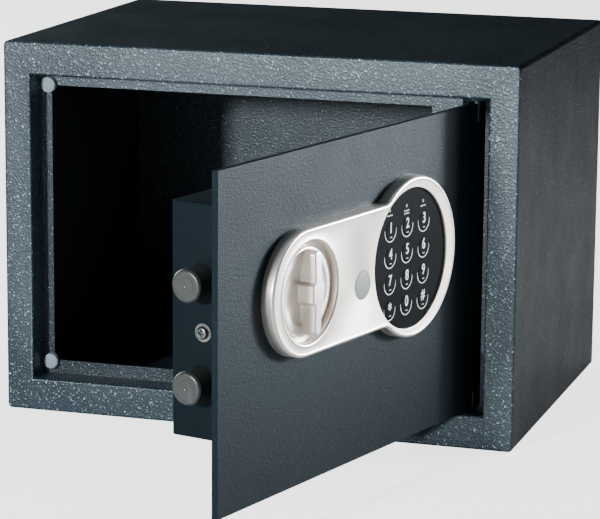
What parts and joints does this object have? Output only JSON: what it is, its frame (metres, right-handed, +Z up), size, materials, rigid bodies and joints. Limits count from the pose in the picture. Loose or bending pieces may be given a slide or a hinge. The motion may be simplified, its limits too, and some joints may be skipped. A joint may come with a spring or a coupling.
{
  "type": "in-room safe",
  "caption": "Small steel room safe with a hinged door standing open, keypad, turn knob, sliding bolts and emergency lock.",
  "frame": {"origin": "centre of the cabinet's base, on the surface it stands on", "axes": "+X towards the hinge side, -Y out of the doorway, +Z up"},
  "size_m": [0.35, 0.5269, 0.25],
  "materials": {
    "cabinet_paint": "coarse hammered powder coat, blue-black",
    "door_paint": "fine textured powder coat, slate blue",
    "cover_paint": "satin powder coat, dark navy",
    "grey_rubber": "matt",
    "steel": "dull turned steel",
    "zinc_steel": "bright zinc plate",
    "panel_plastic": "pearl silver paint, satin",
    "key_plastic": "charcoal, fine matt",
    "light_plastic": "clear",
    "cap_plastic": "mid grey, satin",
    "circuit": "green solder mask",
    "cable_grey": "satin",
    "coil": "copper winding in a steel frame",
    "black_plastic": "moulded, fine grain",
    "battery_wrap": "printed sleeve",
    "lock_brass": "satin",
    "red_plastic": "gloss"
  },
  "bodies": {
    "cabinet": {"cabinet_shell": "cabinet_paint", "back_panel": "cabinet_paint", "front_frame": "cabinet_paint", "stop_strip_left": "cabinet_paint", "stop_strip_top": "cabinet_paint", "stop_strip_bottom": "cabinet_paint", "hinge_stop_plate": "cabinet_paint", "corner_bumpers": "grey_rubber", "hinge_washers": "door_paint"},
    "door": {"door_leaf": "door_paint", "hinge_lugs": "door_paint", "hinge_pins": "steel", "escutcheon": "panel_plastic", "escutcheon_screws": "zinc_steel", "keypad_plate": "key_plastic", "status_lights": "light_plastic", "keypad_board": "circuit", "ribbon_cable": "cable_grey", "lock_barrel": "zinc_steel", "barrel_nut": "zinc_steel", "lock_chassis": "zinc_steel", "guide_screws": "zinc_steel", "solenoid": "coil", "lock_cover": "cover_paint", "cover_posts": "zinc_steel", "cover_screws": "zinc_steel", "cover_side_washer": "zinc_steel", "cover_side_screw": "zinc_steel", "control_board": "circuit", "buzzer": "black_plastic", "battery_box": "black_plastic", "batteries": "battery_wrap"},
    "knob": {"knob": "panel_plastic", "spindle": "steel", "crank_disc": "zinc_steel", "crank_pin": "steel"},
    "bolts": {"bolt_carriage": "zinc_steel", "locking_bolts": "steel", "bolt_screws": "zinc_steel"},
    "plunger": {"solenoid_plunger": "steel"},
    "keyhole_cap": {"keyhole_cap": "cap_plastic"},
    "lock_core": {"lock_core": "lock_brass", "lock_cam": "zinc_steel"},
    "battery_cover": {"battery_cover": "black_plastic"},
    "reset_button": {"reset_button": "red_plastic"},
    "key_1": {"key_1": "key_plastic"},
    "key_2": {"key_2": "key_plastic"},
    "key_3": {"key_3": "key_plastic"},
    "key_4": {"key_4": "key_plastic"},
    "key_5": {"key_5": "key_plastic"},
    "key_6": {"key_6": "key_plastic"},
    "key_7": {"key_7": "key_plastic"},
    "key_8": {"key_8": "key_plastic"},
    "key_9": {"key_9": "key_plastic"},
    "key_star": {"key_star": "key_plastic"},
    "key_0": {"key_0": "key_plastic"},
    "key_hash": {"key_hash": "key_plastic"}
  },
  "joints": [
    {"name": "door_hinge", "type": "hinge", "parent": "cabinet", "child": "door", "pos_m": [0.1448, -0.1134, 0.1245], "axis": [0, 0, 1], "range_deg": [-75.3, 34.7]},
    {"name": "knob_turn", "type": "hinge", "parent": "door", "child": "knob", "pos_m": [0.09222, -0.32012, 0.1415], "axis": [0.9673, -0.2538, 0], "range_deg": [0, 90]},
    {"name": "bolt_slide", "type": "slide", "parent": "door", "child": "bolts", "axis": [-0.2538, -0.9673, 0], "range_m": [0, 0.016]},
    {"name": "plunger_drop", "type": "slide", "parent": "door", "child": "plunger", "axis": [0, 0, -1], "range_m": [0, 0.005]},
    {"name": "keyhole_cap_pull", "type": "slide", "parent": "door", "child": "keyhole_cap", "axis": [0.9673, -0.2538, 0], "range_m": [0, 0.012]},
    {"name": "lock_core_turn", "type": "hinge", "parent": "door", "child": "lock_core", "pos_m": [0.10707, -0.26354, 0.135], "axis": [0.9673, -0.2538, 0], "range_deg": [0, 90]},
    {"name": "battery_cover_slide", "type": "slide", "parent": "door", "child": "battery_cover", "axis": [0.2538, 0.9673, 0], "range_m": [0, 0.012]},
    {"name": "reset_press", "type": "slide", "parent": "door", "child": "reset_button", "axis": [0.9673, -0.2538, 0], "range_m": [0, 0.0015], "stiffness_N_per_m": 400},
    {"name": "key_1_press", "type": "slide", "parent": "door", "child": "key_1", "axis": [-0.9673, 0.2538, 0], "range_m": [0, 0.001], "stiffness_N_per_m": 500},
    {"name": "key_2_press", "type": "slide", "parent": "door", "child": "key_2", "axis": [-0.9673, 0.2538, 0], "range_m": [0, 0.001], "stiffness_N_per_m": 500},
    {"name": "key_3_press", "type": "slide", "parent": "door", "child": "key_3", "axis": [-0.9673, 0.2538, 0], "range_m": [0, 0.001], "stiffness_N_per_m": 500},
    {"name": "key_4_press", "type": "slide", "parent": "door", "child": "key_4", "axis": [-0.9673, 0.2538, 0], "range_m": [0, 0.001], "stiffness_N_per_m": 500},
    {"name": "key_5_press", "type": "slide", "parent": "door", "child": "key_5", "axis": [-0.9673, 0.2538, 0], "range_m": [0, 0.001], "stiffness_N_per_m": 500},
    {"name": "key_6_press", "type": "slide", "parent": "door", "child": "key_6", "axis": [-0.9673, 0.2538, 0], "range_m": [0, 0.001], "stiffness_N_per_m": 500},
    {"name": "key_7_press", "type": "slide", "parent": "door", "child": "key_7", "axis": [-0.9673, 0.2538, 0], "range_m": [0, 0.001], "stiffness_N_per_m": 500},
    {"name": "key_8_press", "type": "slide", "parent": "door", "child": "key_8", "axis": [-0.9673, 0.2538, 0], "range_m": [0, 0.001], "stiffness_N_per_m": 500},
    {"name": "key_9_press", "type": "slide", "parent": "door", "child": "key_9", "axis": [-0.9673, 0.2538, 0], "range_m": [0, 0.001], "stiffness_N_per_m": 500},
    {"name": "key_star_press", "type": "slide", "parent": "door", "child": "key_star", "axis": [-0.9673, 0.2538, 0], "range_m": [0, 0.001], "stiffness_N_per_m": 500},
    {"name": "key_0_press", "type": "slide", "parent": "door", "child": "key_0", "axis": [-0.9673, 0.2538, 0], "range_m": [0, 0.001], "stiffness_N_per_m": 500},
    {"name": "key_hash_press", "type": "slide", "parent": "door", "child": "key_hash", "axis": [-0.9673, 0.2538, 0], "range_m": [0, 0.001], "stiffness_N_per_m": 500}
  ],
  "couplings": [
    {"joint": "knob_turn", "follows": "bolt_slide", "rad_per_m": 98.174}
  ]
}
